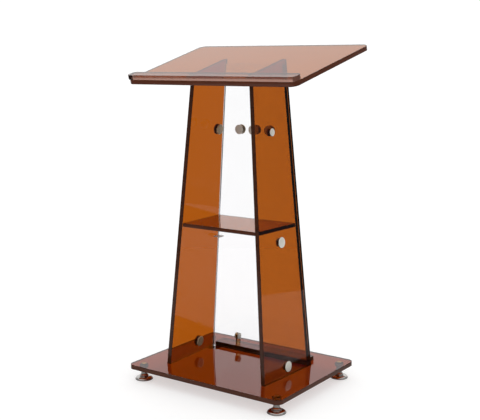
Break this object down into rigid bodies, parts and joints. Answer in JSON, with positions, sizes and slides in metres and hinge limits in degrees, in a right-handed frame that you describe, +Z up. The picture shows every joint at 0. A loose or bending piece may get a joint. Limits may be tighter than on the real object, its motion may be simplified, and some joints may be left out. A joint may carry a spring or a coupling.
{
  "type": "presentation lectern",
  "caption": "Speaker's lectern in tinted and clear acrylic sheet: sloping desk with a book stop, open shelf, splayed sides, clear front panel, base plate on levelling feet.",
  "frame": {"origin": "on the floor under the middle of the base plate", "axes": "+X to the speaker's right, +Y towards the audience, +Z up"},
  "size_m": [0.672, 0.468, 1.1092],
  "materials": {
    "amber_sheet": "polished transparent amber-brown acrylic sheet",
    "clear_sheet": "polished colourless acrylic sheet",
    "pale_sheet": "polished lightly tinted acrylic strip",
    "chrome": "bright plated turned steel",
    "brass": "plain turned brass",
    "rubber": "black moulded rubber"
  },
  "bodies": {
    "stand": {"base_plate": "amber_sheet", "book_stop": "pale_sheet", "corner_plate": "chrome", "desk_top": "amber_sheet", "foot_insert_far_left": "brass", "foot_insert_far_right": "brass", "foot_insert_near_left": "brass", "foot_insert_near_right": "brass", "front_panel_clear": "clear_sheet", "left_lower_bolt": "chrome", "left_lower_nut": "chrome", "left_upper_bolt": "chrome", "left_upper_nut": "chrome", "rail_tab": "amber_sheet", "rear_rail": "amber_sheet", "right_lower_bolt": "chrome", "right_lower_nut": "chrome", "right_shelf_bolt": "chrome", "right_shelf_nut": "chrome", "right_upper_bolt": "chrome", "right_upper_nut": "chrome", "shelf": "amber_sheet", "side_panel_left": "amber_sheet", "side_panel_right": "amber_sheet", "sign_left_bolt": "chrome", "sign_left_nut": "chrome", "sign_middle_bolt": "chrome", "sign_middle_nut": "chrome", "sign_right_bolt": "chrome", "sign_right_nut": "chrome", "tab_bolt": "chrome", "tab_nut": "chrome"},
    "pad_near_left": {"foot_pad_near_left": "chrome", "foot_rubber_near_left": "rubber"},
    "neck_near_left": {"foot_neck_near_left": "chrome"},
    "pad_near_right": {"foot_pad_near_right": "chrome", "foot_rubber_near_right": "rubber"},
    "neck_near_right": {"foot_neck_near_right": "chrome"},
    "pad_far_left": {"foot_pad_far_left": "chrome", "foot_rubber_far_left": "rubber"},
    "neck_far_left": {"foot_neck_far_left": "chrome"},
    "pad_far_right": {"foot_pad_far_right": "chrome", "foot_rubber_far_right": "rubber"},
    "neck_far_right": {"foot_neck_far_right": "chrome"}
  },
  "joints": [
    {"name": "lift_near_left", "type": "slide", "parent": "stand", "child": "pad_near_left", "axis": [0, 0, -1], "range_m": [0, 0.008]},
    {"name": "screw_near_left", "type": "hinge", "parent": "pad_near_left", "child": "neck_near_left", "pos_m": [-0.265, -0.194, 0.03], "axis": [0, 0, -1], "range_deg": [0, 1920]},
    {"name": "lift_near_right", "type": "slide", "parent": "stand", "child": "pad_near_right", "axis": [0, 0, -1], "range_m": [0, 0.008]},
    {"name": "screw_near_right", "type": "hinge", "parent": "pad_near_right", "child": "neck_near_right", "pos_m": [0.265, -0.194, 0.03], "axis": [0, 0, -1], "range_deg": [0, 1920]},
    {"name": "lift_far_left", "type": "slide", "parent": "stand", "child": "pad_far_left", "axis": [0, 0, -1], "range_m": [0, 0.008]},
    {"name": "screw_far_left", "type": "hinge", "parent": "pad_far_left", "child": "neck_far_left", "pos_m": [-0.265, 0.194, 0.03], "axis": [0, 0, -1], "range_deg": [0, 1920]},
    {"name": "lift_far_right", "type": "slide", "parent": "stand", "child": "pad_far_right", "axis": [0, 0, -1], "range_m": [0, 0.008]},
    {"name": "screw_far_right", "type": "hinge", "parent": "pad_far_right", "child": "neck_far_right", "pos_m": [0.265, 0.194, 0.03], "axis": [0, 0, -1], "range_deg": [0, 1920]}
  ],
  "couplings": [
    {"joint": "screw_near_left", "follows": "lift_near_left", "rad_per_m": 4188.8},
    {"joint": "screw_near_right", "follows": "lift_near_right", "rad_per_m": 4188.8},
    {"joint": "screw_far_left", "follows": "lift_far_left", "rad_per_m": 4188.8},
    {"joint": "screw_far_right", "follows": "lift_far_right", "rad_per_m": 4188.8}
  ]
}
